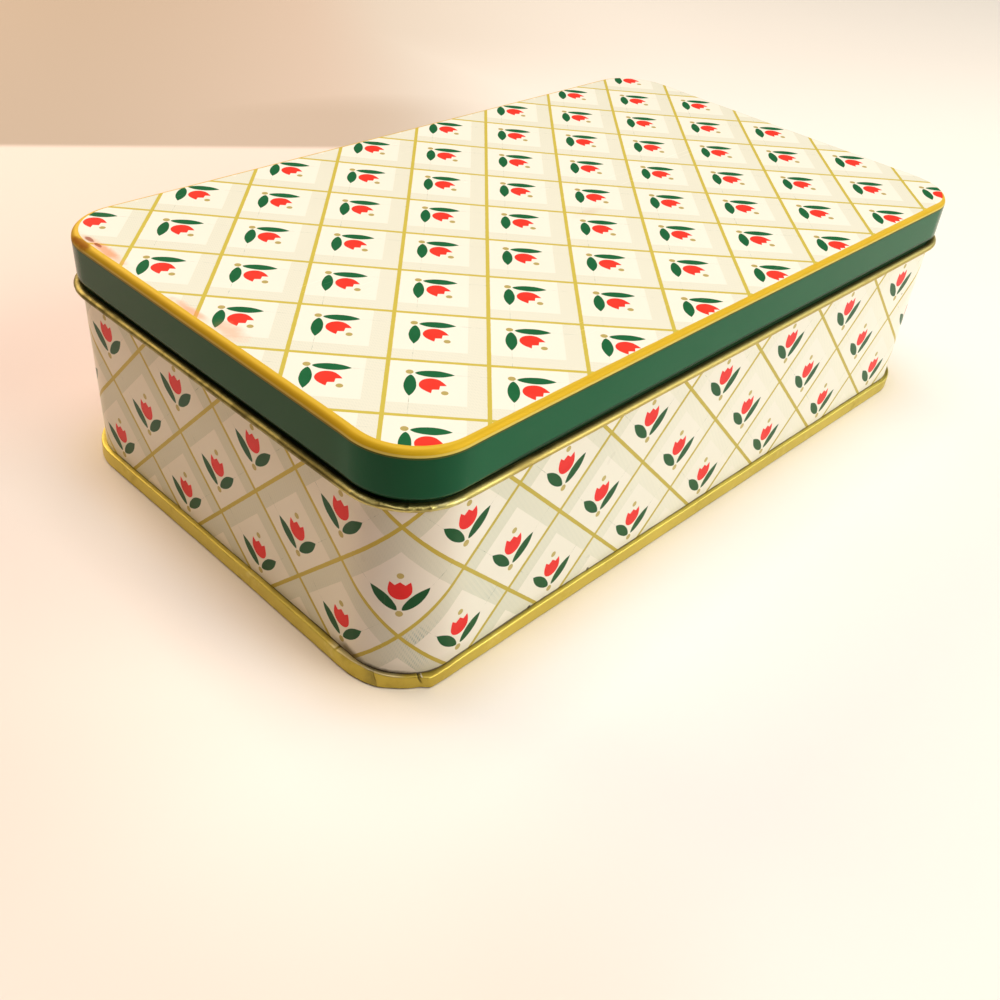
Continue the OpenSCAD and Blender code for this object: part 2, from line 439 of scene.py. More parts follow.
def trellis(net, X, Z, wob):
    """Masks of a square trellis set on its point, cell diagonal 1, and of one
    small tulip standing in each cell. Z is up the tulip."""
    A, B = X + Z, X - Z
    fa = A.fract() - 0.5
    fb = B.fract() - 0.5
    edge = (0.5 - fa.abs()).min(0.5 - fb.abs()) + wob
    line = net.step(edge, 0.0222 + AA, 0.0222 - AA)
    band = net.step((0.5 - fa).min(0.5 + fb) + wob, 0.213 + AA, 0.213 - AA)
    x = (fa + fb) * 0.5
    z = (fa - fb) * 0.5
    ax = x.abs()
    # flower: a round bowl with three points along its top
    q = z + 0.060
    low = q.min(0.0)
    high = q.max(0.0)
    bowl = (ax * ax + low * low).sqrt() + high * high * 2.1 + wob * 0.7
    crown = 0.0165 - 0.030 * (1.0 - (ax / 0.0375 - 1.0).abs())
    cup = net.step(bowl, 0.0860 + AA, 0.0860 - AA) * net.step(z - crown + wob * 0.7, AA, -AA)
    # two leaves, pointed above and blunt below
    r = math.sqrt(0.5)
    lx, lz = ax - 0.1165, z + 0.149
    along = (lx + lz) * r
    across = (lx - lz) * r
    t = (along / 0.137).min(1.0).max(-1.0)
    body = (1.0 - t * t).max(0.0)
    up = net.step(t, -0.05, 0.05)
    width = body.pow(0.62) * up.inv() + body.pow(0.95) * up
    leaf = net.step(across.abs() - width * 0.0435 + wob * 0.8, AA, -AA)
    dots = None
    for cz, rr in ((0.072, 0.0255), (-0.280, 0.0275)):
        dz = z - cz
        d = net.step((ax * ax + dz * dz).sqrt() + wob * 0.6, rr + AA, rr - AA)
        dots = d if dots is None else dots.max(d)
    return line, band, cup, leaf, dots


def printed(net, X, Z, vec, screen_at, cream, sage_ink, gold_ink, leaf_ink, flower_ink):
    """The print's colour, and how much of it is metallic gold ink."""
    wob = (net.noise(vec, 900.0, 2.0, 0.5, 3.0) - 0.5) * 0.006
    line, band, cup, leaf, dots = trellis(net, X, Z, wob)
    # the fine screen that the sage tint is printed with
    u = (X * 0.9397 - Z * 0.342) * (H / 0.44 * 2 * math.pi)
    w = (X * 0.342 + Z * 0.9397) * (H / 1.10 * 2 * math.pi) + u * 0.31
    screen = net.step(u.sin() * 0.7 + w.sin() * 0.55, -0.2, 0.9)
    patch = net.step(net.noise(vec, 70.0, 2.0, 0.5, 8.0), 0.30, 0.55)
    sage = net.mix(screen * (patch * screen_at + 0.03), sage_ink, SAGE_DARK)
    col = net.mix(band, cream, sage)
    # ink density drifts a little over the sheet
    drift = net.noise(vec, 28.0, 3.0, 0.55, 5.0)
    col = net.tint(col, net.mix(drift, (0.955, 0.945, 0.925), (1.0, 1.0, 1.0)))
    col = net.mix(dots * 0.88, col, GOLD_DOT)
    col = net.mix(line, col, gold_ink)
    col = net.mix(leaf, col, net.mix(net.noise(vec, 420.0, 2.0, 0.5, 1.0), *leaf_ink))
    col = net.mix(cup, col, net.mix(net.noise(vec, 380.0, 2.0, 0.5, 2.0), *flower_ink))
    return col, line.max(dots * 0.6)


def pinholes(net, vec, scale, size, seed):
    """Small round specks, each a flake or dust spot."""
    n = net.node("ShaderNodeTexVoronoi", feature="F1")
    off = net.node("ShaderNodeVectorMath", operation="ADD")
    net.feed(off.inputs[0], vec)
    off.inputs[1].default_value = (seed, seed * 0.37, -seed * 0.71)
    net.link(off.outputs[0], n.inputs["Vector"])
    n.inputs["Scale"].default_value = scale
    n.inputs["Randomness"].default_value = 1.0
    pick = split(net, n.outputs["Color"])[0]
    d = V(net, n.outputs["Distance"])
    return net.step(d, size, size * 0.6) * net.step(pick, 0.90, 0.93)


def blot(net, x, y, cx, cy, rx, ry, vec, seed, soft=0.55):
    """A soft-edged stain at a place on the sheet, ragged with noise."""
    dx, dy = (x - cx) / rx, (y - cy) / ry
    d = (dx * dx + dy * dy).sqrt()
    rag = (net.noise(vec, 320.0, 4.0, 0.6, seed) - 0.5) * 1.3
    return net.step(d + rag, 1.0 + soft * 0.3, 1.0 - soft)


def scratches(net, vec, seed, angle, density=0.5, scale=(30.0, 1400.0, 30.0)):
    """Fine hairlines that run one way."""
    m = net.node("ShaderNodeMapping")
    net.feed(m.inputs["Vector"], vec)
    m.inputs["Rotation"].default_value = angle
    m.inputs["Scale"].default_value = scale
    n = net.noise(V(net, m.outputs[0]), 1.0, 3.0, 0.6, seed)
    return net.step(n, 0.60, 0.68)


def gold(name, base, rough=0.26, dark=0.5, bumpy=1.0, grime=0.35, seed=0.0, streak=True):
    """Gold-lacquered tinplate: metal under a warm lacquer, rubbed and grimy."""
    net = Net(name)
    co = net.node("ShaderNodeTexCoord").outputs["Object"]
    c = V(net, co)
    big = net.noise(c, 60.0, 3.0, 0.6, seed + 1.0)
    fine = net.noise(c, 700.0, 3.0, 0.6, seed + 2.0)
    rub = net.step(net.noise(c, 190.0, 4.0, 0.65, seed + 3.0), 0.58, 0.72)
    stain = net.step(net.noise(c, 120.0, 4.0, 0.6, seed + 4.0), 0.55, 0.75)
    shade = tuple(x * dark for x in base)
    col = net.mix(big, tuple(x * 0.86 for x in base), tuple(min(1.0, x * 1.08) for x in base))
    col = net.mix(rub * 0.45, col, (min(1, base[0] * 1.15), min(1, base[1] * 1.22), min(1, base[2] * 1.9 + 0.03)))
    col = net.mix(stain * grime, col, (shade[0] * 0.75, shade[1] * 0.62, shade[2] * 0.5))
    hair = scratches(net, c, seed + 5.0, (0.3, 0.2, 0.6)) * 0.5
    rgh = rough + fine * 0.10 + stain * 0.18 - rub * 0.05 + hair * 0.12
    net.feed(net.bsdf.inputs["Base Color"], col)
    net.bsdf.inputs["Metallic"].default_value = 1.0
    net.feed(net.bsdf.inputs["Roughness"], rgh)
    wav = net.noise(c, 150.0, 2.0, 0.5, seed + 6.0)
    nrm = net.bump(wav, 0.00030 * bumpy, 0.5)
    nrm = net.bump(fine + hair, 0.00003 * bumpy, 0.6, nrm)
    net.link(nrm, net.bsdf.inputs["Normal"])
    return net


# ----------------------------------------------------------------- materials
def make_wall_print():
    net = Net("wall_print")
    uvn = net.node("ShaderNodeUVMap", uv_map="Wrap")
    us, ur = split(net, uvn.outputs[0])[:2]
    co = V(net, net.node("ShaderNodeTexCoord").outputs["Object"])
    z = split(net, co.s)[2]
    s = us * 1000.0
    zz = z * 1000.0
    X = (s - WALL_S) / H
    Z = (zz - ROW0_Z) / H
    # the tint's screen shows most round the foot of the front left corner
    near = blot(net, s, zz, 4.5, 8.0, 7.0, 6.0, co, 25.0, 0.8).max(blot(net, s, zz, 19.0, 17.0, 7.0, 5.5, co, 26.0, 0.8) * 0.55)
    # painted light: the sage is drawn paler further right along the front
    sage = net.mix(net.step(s, 10.0, 85.0), SAGE, (0.880, 0.857, 0.745))
    col, metal = printed(net, X, Z, co, near * 0.80 + 0.04, CREAM, sage, GOLD_INK, LEAF, FLOWER)
    # painted light and shade by side: the print is drawn a little warmer along the left and darker at the corner,
    # where the shade falls
    col = net.tint(col, net.mix(net.step(s, -2.0, -12.0) * net.step(s, -125.0, -105.0), (1.0, 1.0, 1.0), (0.99, 0.93, 0.835)))
    col = net.tint(col, net.mix(net.step((s - 1.0).abs(), 15.0, 5.0), (1.0, 1.0, 1.0), (0.90, 0.85, 0.835)))
    # bare margin on both sides of the lock seam at the back
    back = (s + (ROUND - BACK_SEAM)).abs().min((s - BACK_SEAM).abs())
    margin = net.step(back, 2.75, 2.65)
    col = net.mix(margin, col, (0.52, 0.47, 0.34))
    # darker above the base seam and under the bead: a line of dirt along the seam's top edge deepened by painted shade
    # where seam and wall meet, a soft painted shade above it, and painted shade just under the bead
    n1 = net.noise(co, 240.0, 4.0, 0.65, 11.0)
    n2 = net.noise(co, 60.0, 3.0, 0.6, 12.0)
    lip = net.step((s - 3.0).abs(), 24.0, 3.0) * 0.42 + net.step((s - 7.0).abs(), 5.0, 1.0) * 0.20 + 0.30
    low = net.step(zz + lip + (n1 - 0.5) * 0.45 + (n2 - 0.5) * 0.30, 3.98, 3.80)
    soft = net.step(zz + (n2 - 0.5) * 2.0, 5.8, 3.7) * 0.12
    top = net.step(zz + (n1 - 0.5) * 0.7, 39.2, 39.8) * 0.40
    col = net.mix(low * 0.86, col, (0.060, 0.036, 0.010))
    col = net.mix(soft, col, (0.36, 0.30, 0.21))
    col = net.mix(top, col, (0.33, 0.26, 0.12))
    # a dark smudge of rust and dirt at the foot of the front left corner
    smear = blot(net, s, zz, -10.2, 3.7, 4.2, 1.5, co, 21.0, 0.9)
    col = net.mix(smear * 0.85, col, (0.085, 0.050, 0.013))
    smear2 = blot(net, s, zz, -3.0, 3.2, 5.5, 0.65, co, 22.0, 0.8)
    col = net.mix(smear2 * 0.8, col, (0.055, 0.036, 0.012))
    specks = blot(net, s, zz, 30.4, 3.65, 0.55, 0.40, co, 23.0, 0.3).max(blot(net, s, zz, 47.3, 3.70, 0.45, 0.35, co, 24.0, 0.3))
    col = net.mix(specks * 0.85, col, (0.03, 0.022, 0.012))
    # scuffs
    spots = pinholes(net, co, 95.0, 0.032, 2.0)
    col = net.mix(spots * 0.7, col, (0.22, 0.17, 0.10))
    hair = scratches(net, co, 31.0, (0.2, 0.5, 0.9)) * net.step(net.noise(co, 40.0, 2.0, 0.5, 32.0), 0.55, 0.7)
    col = net.mix(hair * 0.035, col, (0.55, 0.50, 0.40))
    net.feed(net.bsdf.inputs["Base Color"], col)
    net.feed(net.bsdf.inputs["Metallic"], metal * 0.15 + margin * 0.5)
    rgh = 0.26 + net.noise(co, 90.0, 3.0, 0.6, 14.0) * 0.05 + low * 0.45 + hair * 0.05 + soft * 0.4
    net.feed(net.bsdf.inputs["Roughness"], rgh)
    net.bsdf.inputs["IOR"].default_value = 1.48
    net.bsdf.inputs["Specular IOR Level"].default_value = 0.13
    wav = net.noise(co, 26.0, 1.0, 0.4, 15.0)
    nrm = net.bump(wav, 0.0004, 0.25)
    nrm = net.bump(net.noise(co, 1100.0, 2.0, 0.5, 16.0) + low * 0.6 - spots * 0.5, 0.000016, 0.5, nrm)
    net.link(nrm, net.bsdf.inputs["Normal"])
    return net.mat


def make_lid_print():
    """Top print, gold edge and green skirt in one coat, as one sheet has them."""
    net = Net("lid_print")
    uvn = net.node("ShaderNodeUVMap", uv_map="Wrap")
    us, ur = split(net, uvn.outputs[0])[:2]
    co = V(net, net.node("ShaderNodeTexCoord").outputs["Object"])
    ox, oy, oz = split(net, co.s)
    x, y, z = ox * 1000.0, oy * 1000.0, oz * 1000.0
    s = us * 1000.0
    # crossing nearest the front left corner, and the trellis pitch on the lid
    X = -((x - (-LEN / 2 + 0.2527 * H + 0.28)) / (0.9826 * H))
    Z = -((y - (-WID / 2 + 0.5358 * H - 0.17)) / (1.0016 * H))
    # the lid takes the lighter inks: painted light on the top
    col, metal = printed(net, X, Z, co, 0.05, CREAM_LID, SAGE_LID, GOLD_LID, LEAF_LID, FLOWER_LID)
    inked = net.step(split(net, col.s)[0], 0.45, 0.60)

    # distance in from the skirt's plane, of a rounded rectangle that the print
    # was laid on a touch off centre
    def inset(px, py, grow):
        hx, hy, r = LEN / 2 + grow, WID / 2 + grow, RAD + grow
        qx = ((x - px).abs() - (hx - r)).max(0.0)
        qy = ((y - py).abs() - (hy - r)).max(0.0)
        return r - (qx * qx + qy * qy).sqrt()

    wob = (net.noise(co, 260.0, 3.0, 0.55, 41.0) - 0.5) * 0.16
    proud = net.step(s, 45.0, 2.0, 0.0, 0.30) * net.step(s, -16.0, 0.0)
    d = inset(0.28, -0.28, 0.0) + proud + net.step(y, 40.0, 50.0) * 0.22 + wob
    rim = net.step(d, 0.60, 0.50)
    # gold edge: ochre over the bend, drawn paler along its top as a painted highlight,
    # a pale painted reflection below, then the dark overlap of gold and green
    drop = LID_Z - z
    gn = net.noise(co, 140.0, 3.0, 0.6, 42.0)
    g = net.mix(gn, (0.62, 0.375, 0.010), (0.70, 0.445, 0.018))
    g = net.mix(net.step(drop + wob * 0.5, 0.24, 0.06) * 0.60, g, (0.78, 0.54, 0.055))
    pale = net.step(drop + wob * 0.4, 0.80, 0.98)
    g = net.mix(pale * 0.85, g, (0.74, 0.595, 0.140))
    g = net.mix(net.step(drop + wob * 0.3, 1.24, 1.32) * 0.95, g, (0.030, 0.060, 0.008))
    # painted shade: the left side is drawn darker, on the gold edge here and on the green skirt below
    shaded_left_side = net.step(s, -5.0, -16.0)
    g = net.mix(shaded_left_side * net.step(drop, 0.05, 0.45) * 0.45, g, (0.42, 0.235, 0.008))
    col = net.mix(rim, col, g)
    # green skirt below the gold
    gz = z + (net.noise(co, 300.0, 2.0, 0.5, 43.0) - 0.5) * 0.10
    green_in = net.step(gz, LID_Z - 1.56, LID_Z - 1.68)
    gr = net.mix(net.noise(co, 45.0, 3.0, 0.55, 44.0), (0.004, 0.098, 0.037), (0.007, 0.118, 0.047))
    # painted shade on the skirt: darker along the left side and at the front left corner
    gr = net.mix(shaded_left_side * 0.80, gr, (0.013, 0.072, 0.022))
    gr = net.mix(net.step((s - 1.0).abs(), 13.0, 3.0) * 0.50, gr, (0.001, 0.048, 0.018))
    # painted shade over the roll of the lower edge, which turns down away from the light
    roll = z + (s - 6.0).abs().min(16.0) * -0.050 + 0.85 + net.step(s, 4.0, -10.0) * 0.25
    gr = net.mix(net.step(roll, SKIRT_Z0 + 1.05, SKIRT_Z0 + 0.55) * 0.92, gr, (0.001, 0.036, 0.012))
    gr = net.mix(net.step(roll, SKIRT_Z0 + 0.55, SKIRT_Z0 - 0.25) * 0.90, gr, (0.001, 0.024, 0.008))
    dust = net.step(net.noise(co, 30.0, 4.0, 0.6, 45.0), 0.40, 0.75) * 0.02
    gr = net.mix(dust, gr, (0.16, 0.20, 0.15))
    col = net.mix(green_in, col, gr)

    # rubbed marks: red ink picked up along the left edge, rust at its far end
    pink = blot(net, x, y, -87.1, 34.5, 1.3, 8.5, co, 52.0, 0.8) * 0.80
    pink = pink.max(blot(net, x, y, -87.4, 6.0, 1.2, 6.0, co, 51.0, 0.8) * 0.62)
    pink = pink.max(blot(net, x, y, -86.2, -4.0, 2.2, 4.5, co, 56.0, 0.8) * 0.50)
    ontop = net.step(d, 0.3, 0.7)
    col = net.mix(pink * ontop * (inked * 0.8 + 0.2), col, (0.96, 0.36, 0.17))
    rust = blot(net, x, y, -88.7, 41.0, 0.9, 4.5, co, 54.0, 0.6) * net.step(z, LID_Z - 1.5, LID_Z - 1.0) * 0.8
    rust = rust.max(blot(net, x, y, -87.0, 40.2, 0.55, 1.7, co, 57.0, 0.4) * 0.9)
    rust = rust.max(blot(net, x, y, -87.0, 37.2, 0.50, 1.5, co, 58.0, 0.4) * 0.9)
    col = net.mix(rust * 0.85, col, (0.28, 0.045, 0.012))
    tan = blot(net, x, y, 4.5, -6.0, 4.5, 1.7, co, 55.0, 0.9) * 0.22
    col = net.mix(tan * ontop * inked, col, (0.62, 0.38, 0.18))

    spots = pinholes(net, co, 80.0, 0.035, 5.0)
    col = net.mix(spots * 0.55, col, (0.30, 0.22, 0.13))
    # the edge is worn to bare tin in places
    worn = net.step(net.noise(co, 210.0, 5.0, 0.7, 46.0), 0.66, 0.72) * net.step(d, 0.9, 0.2) * green_in.inv()
    col = net.mix(worn * 0.25, col, (0.50, 0.38, 0.14))
    hair = scratches(net, co, 61.0, (0.1, 0.4, 0.5)) * net.step(net.noise(co, 35.0, 2.0, 0.5, 62.0), 0.52, 0.7)
    col = net.mix(hair * (green_in.inv() * 0.03 + 0.01), col, (0.60, 0.56, 0.45))
    net.feed(net.bsdf.inputs["Base Color"], col)
    m = (metal * 0.15) * rim.inv() + rim * green_in.inv() * 0.12
    net.feed(net.bsdf.inputs["Metallic"], m * green_in.inv())
    rgh = 0.23 + net.noise(co, 80.0, 3.0, 0.6, 48.0) * 0.06 + rust * 0.5 + hair * 0.04 + worn * 0.2
    under = net.step(roll, SKIRT_Z0 + 0.60, SKIRT_Z0 + 0.10)
    rgh = rgh - green_in * 0.05 + rim * green_in.inv() * 0.22 + under * 0.6
    net.feed(net.bsdf.inputs["Roughness"], rgh)
    net.bsdf.inputs["IOR"].default_value = 1.48
    net.bsdf.inputs["Specular IOR Level"].default_value = 0.11
    wav = net.noise(co, 22.0, 1.0, 0.4, 49.0)
    nrm = net.bump(wav, 0.0005, 0.25)
    nrm = net.bump(net.noise(co, 1000.0, 2.0, 0.5, 50.0) - spots * 0.5 - rust * 1.5, 0.000016, 0.5, nrm)
    net.link(nrm, net.bsdf.inputs["Normal"])
    return net.mat


def make_bead_gold():
    net = gold("bead_gold", (0.56, 0.495, 0.175), rough=0.40, grime=0.36, bumpy=0.6, seed=71.0)
    us, _ = split(net, net.node("ShaderNodeUVMap", uv_map="Wrap").outputs[0])[:2]
    co = V(net, net.node("ShaderNodeTexCoord").outputs["Object"])
    s = us * 1000.0
    z = split(net, co.s)[2] * 1000.0
    base = V(net, net.bsdf.inputs["Base Color"].links[0].from_socket)
    # painted shade: the bead is drawn browner from the front right round to the back
    base = net.mix(net.step(s, 6.0, 26.0) * 0.75, base, (0.47, 0.355, 0.105))
    # painted shade by side: dark along the left, and in broken streaks on the underside of the curl at the corner
    shaded_left_side = net.step(s, -7.0, -15.0) * net.step(s, -118.0, -104.0)
    rag = net.step(net.noise(co, 260.0, 4.0, 0.65, 75.0), 0.42, 0.60)
    base = net.mix(shaded_left_side * (rag * 0.35 + 0.50), base, (0.105, 0.088, 0.022))
    corner_underside_shade = net.step((s - 4.0).abs(), 16.0, 9.0) * rag * net.step(z, 40.9, 40.3)
    base = net.mix(corner_underside_shade * 0.55, base, (0.20, 0.145, 0.035))
    net.feed(net.bsdf.inputs["Base Color"], base)
    return net.mat


def make_seam_gold():
    net = gold("seam_gold", (0.69, 0.575, 0.125), rough=0.42, grime=0.26, bumpy=0.8, seed=81.0)
    us, _ = split(net, net.node("ShaderNodeUVMap", uv_map="Wrap").outputs[0])[:2]
    co = V(net, net.node("ShaderNodeTexCoord").outputs["Object"])
    s = us * 1000.0
    z = split(net, co.s)[2] * 1000.0
    wob = (net.noise(co, 500.0, 3.0, 0.6, 85.0) - 0.5) * 0.30
    col = V(net, net.bsdf.inputs["Base Color"].links[0].from_socket)
    # painted shade: the seam is drawn darker round the front left corner
    col = net.mix(net.step(s.abs(), 14.0, 5.0) * 0.38, col, (0.40, 0.265, 0.030))
    # a darker facet that ends in a crease, with painted shade in the crease, in a slit beside it and in a notch
    # further left
    lean = (3.4 - z) * 0.36
    e = s - lean + wob
    darker_facet = net.step(e, -7.4, -5.2) * net.step(e, -4.30, -4.60)
    col = net.mix(darker_facet * net.step(net.noise(co, 420.0, 3.0, 0.6, 87.0), 0.25, 0.65) * 0.62, col, (0.235, 0.190, 0.060))
    crease = net.step((e + 4.46).abs(), 0.20, 0.06) * net.step(z, 0.6, 1.6)
    col = net.mix(crease * 0.55, col, (0.090, 0.062, 0.018))
    cut = s - 3.30 - (2.6 - z).max(0.0) * 0.42 + (z - 2.6).max(0.0) * 0.10 + wob * 0.5
    slit = net.step(cut.abs(), 0.26, 0.10) * net.step(z, 1.0, 1.8)
    notch = net.step((s + 12.7 + wob).abs(), 0.35, 0.12) * net.step(z, 2.6, 3.2)
    col = net.mix(slit.max(notch * 0.45) * 0.75, col, (0.045, 0.030, 0.012))
    # a painted highlight beside the slit
    glint = blot(net, s, z, 3.84, 2.80, 0.20, 0.12, co, 86.0, 0.5)
    # painted highlights: along the top edge left of the corner, and a small glint beside the slit
    top_highlight = net.step(z + s * 0.0167 + wob * 0.25, 2.80, 2.90) * net.step(s, -15.5, -13.0) * net.step(s, 1.5, -1.0)
    col = net.mix(top_highlight * 0.50, col, (0.98, 0.90, 0.58))
    col = net.mix(glint * 0.9, col, (0.92, 0.86, 0.66))
    # dirt and painted shadow along the lowest edge, where the seam meets the floor
    low = net.step(z + wob, 0.42, 0.12)
    col = net.mix(low * 0.70, col, (0.11, 0.078, 0.025))
    net.feed(net.bsdf.inputs["Base Color"], col)
    return net.mat


def make_inside_gold():
    net = gold("inside_gold", (0.70, 0.56, 0.26), rough=0.30, grime=0.22, bumpy=1.6, seed=91.0)
    return net.mat


def make_panel_gold():
    net = gold("panel_gold", (0.66, 0.53, 0.22), rough=0.33, grime=0.35, bumpy=1.8, seed=101.0)
    return net.mat


def make_hinge_gold():
    net = gold("hinge_gold", (0.60, 0.48, 0.20), rough=0.32, grime=0.45, bumpy=0.8, seed=111.0)
    return net.mat


def make_neck_gold():
    """The neck: gold lacquer above; lower down it is drawn as painted shade under the lid, near black at the bottom,
    turning dark green higher up as a painted reflection of the green skirt.
    """
    net = gold("neck_gold", (0.55, 0.45, 0.20), rough=0.38, grime=0.40, bumpy=1.0, seed=121.0)
    co = V(net, net.node("ShaderNodeTexCoord").outputs["Object"])
    z = split(net, co.s)[2] * 1000.0
    # painted shade under the lid's skirt, with a painted green reflection of the skirt
    painted_shade = net.step(z + (net.noise(co, 200.0, 4.0, 0.6, 125.0) - 0.5) * 0.8, 44.6, 43.9)
    base = net.bsdf.inputs["Base Color"].links[0].from_socket
    net.feed(net.bsdf.inputs["Base Color"], net.mix(painted_shade * 0.97, V(net, base), net.mix(net.step(z, 40.3, 41.4), (0.002, 0.022, 0.007), (0.002, 0.055, 0.018))))
    net.bsdf.inputs["Metallic"].default_value = 0.0
    net.feed(net.bsdf.inputs["Metallic"], painted_shade.inv())
    rough = net.bsdf.inputs["Roughness"].links[0].from_socket
    net.feed(net.bsdf.inputs["Roughness"], V(net, rough).max(painted_shade * 0.75))
    net.bsdf.inputs["Specular IOR Level"].default_value = 0.06
    return net.mat


def make_wire():
    net = Net("hinge_wire")
    co = V(net, net.node("ShaderNodeTexCoord").outputs["Object"])
    n = net.noise(co, 500.0, 3.0, 0.6, 131.0)
    draw = scratches(net, co, 132.0, (0.0, 0.0, 0.0), scale=(20.0, 3000.0, 3000.0))
    rust = net.step(net.noise(co, 260.0, 4.0, 0.6, 133.0), 0.56, 0.74)
    col = net.mix(n, (0.42, 0.40, 0.36), (0.60, 0.58, 0.53))
    col = net.mix(rust * 0.55, col, (0.16, 0.075, 0.03))
    net.feed(net.bsdf.inputs["Base Color"], col)
    net.bsdf.inputs["Metallic"].default_value = 1.0
    net.feed(net.bsdf.inputs["Roughness"], 0.30 + n * 0.15 + rust * 0.3 + draw * 0.1)
    net.link(net.bump(draw + n, 0.00003, 0.6), net.bsdf.inputs["Normal"])
    return net.mat


WALL_PRINT = make_wall_print()
LID_PRINT = make_lid_print()
BEAD_GOLD = make_bead_gold()
SEAM_GOLD = make_seam_gold()
INSIDE_GOLD = make_inside_gold()
PANEL_GOLD = make_panel_gold()
HINGE_GOLD = make_hinge_gold()
NECK_GOLD = make_neck_gold()
WIRE = make_wire()

# ------------------------------------------------------------------- pieces
S = stations(2.4, 30, 66)


def wall_bend(s, U, Z):
    """Crimps of the bead round the corners and the wall's slight unevenness."""
    dU, dZ = np.zeros_like(U), np.zeros_like(Z)
    w = corner_weight(s, 2.0)
    near = np.clip(1.25 - np.abs(s + 1.0) / 12.0, 0, 1)
    inbead = np.hypot(U - BEAD_U, Z - BEAD_Z)
    ang = np.arctan2(Z - BEAD_Z, U - BEAD_U)
    bead = ((Z > BEAD_Z - 1.2) & (inbead < BEAD_R + 0.02) & ((U > 0.02) | (Z > BEAD_Z + 0.02))).astype(float)
    side = np.clip(0.45 + 0.55 * np.cos(ang - 0.7), 0, 1)
    # the curl is squeezed in short flats where it turns the corner
    flat = np.abs(wander(s, 1.55, 5)) ** 0.7 * 0.75 + 0.35 * np.abs(wander(s, 0.8, 6))
    amp = 0.012 + 0.050 * w + 0.170 * near * w
    r = -(amp * flat)[:, None] * side * bead
    twist = (w * (0.35 + 0.45 * near) * wander(s, 2.1, 9))[:, None]
    r = r * (1 + twist * np.sin(2 * ang + 3.0 * wander(s, 3.0, 10)[:, None]))
    dU += r * np.cos(ang)
    dZ += r * np.sin(ang) + bead * (0.045 * w * wander(s, 5.0, 11) + 0.015 * wander(s, 21.0, 12))[:, None]
    # flattened from below and from above
    dZ += bead * (BEAD_R - BEAD_RZ) * (1 - (Z - BEAD_Z) / BEAD_R) * np.clip((Z - (BEAD_Z - 1.1)) / 0.3, 0, 1)
    dZ -= BEAD_DROP * np.clip((Z - (BEAD_Z - 1.0)) / (2 * BEAD_R), 0, 1) * (inbead < BEAD_R + 0.02)
    hook = in_seam(U, Z)
    dU += hook * seam_shape(s, Z) * U / (3 * T + 3 * GAP)
    dZ += hook * seam_lift(s, Z)
    return dU, dZ


def make_wall():
    prof, slots, sharp = [], [], []

    def add(points, slot):
        for p in points:
            prof.append(p)
            slots.append(slot)

    # outer, printed face, from inside the seam up into the curl
    zs = [2 * T + GAP, 2.0, SEAM_H - 0.05, SEAM_H + 0.4] + list(np.linspace(6, 38.5, 14)) + [39.4, 39.9]
    add([(0.0, z) for z in zs], 0)
    add(arc_points(BEAD_U, BEAD_Z, BEAD_R - T, 180, -131, 18), 1)
    k = len(prof)
    add(arc_points(BEAD_U, BEAD_Z, BEAD_R - 0.001, -131, 180, 40), 1)
    sharp += [k - 1, k]
    add([(-T, z) for z in [39.5, 34, 28, 22, 16, 10, 4]], 2)
    k = len(prof)
    add([(-T, T + GAP), (2 * T + 2 * GAP, T + GAP), (2 * T + 2 * GAP, SEAM_H - 1.0),
         (T + 2 * GAP, SEAM_H - 1.0), (T + 2 * GAP, 2 * T + GAP)], 2)
    sharp += list(range(k, k + 5)) + [0]
    return sweep("body_wall_printed", prof, slots, sharp, [WALL_PRINT, BEAD_GOLD, INSIDE_GOLD], S, wall_bend)


def seam_shape(s, Z):
    """How far the seam's outer face stands off its nominal place: it leans out
    along the left side, has lost its round form at the front left corner, with
    a crease, a nick and a tab that sticks out, and waves a little all round."""
    k_top = [-150, -90, -40, -14, -12.4, -10, -7, -6.2, -4.4, -1, 3.3, 3.75, 5.0, 6.5, 8, 10.5, 400]
    v_top = [0, 0.10, 0.15, 0.26, 0.30, 0.02, -0.28, -0.25, -0.14, 0, 0, 0.20, 0.62, 0.28, 0.06, 0, 0]
    k_bot = [-150, -90, -40, -14, -12.2, -9.5, -7, -5.3, -3.1, -1, 3.6, 4.2, 5.3, 6.7, 8.2, 10.5, 400]
    v_bot = [0, 0.25, 0.30, 0.52, 0.60, 0.52, 0.40, 0.42, 0.42, 0.10, 0.02, 0.25, 0.72, 0.30, 0.08, 0, 0]
    top = np.interp(s, k_top, v_top)[:, None]
    bot = np.interp(s, k_bot, v_bot)[:, None]
    t = np.clip((Z - 0.3) / 3.1, 0, 1)
    d = bot * (1 - t) + top * t
    wave = 0.035 * wander(s, 9.0, 21) + 0.018 * wander(s, 3.2, 22)
    d = d + wave[:, None]
    e = s[:, None] - (3.4 - Z) * 0.36
    d = d - 0.13 * np.exp(-((e + 4.46) / 0.30) ** 2) * (t > 0.1)
    up = np.clip((Z - 1.3) / 1.2, 0, 1)
    cut = s[:, None] - 3.46 - np.maximum(3.5 - Z, 0) * 0.16
    d = d - up * 0.34 * np.exp(-(cut / 0.17) ** 2)
    return np.clip(d, -0.45, 0.75)


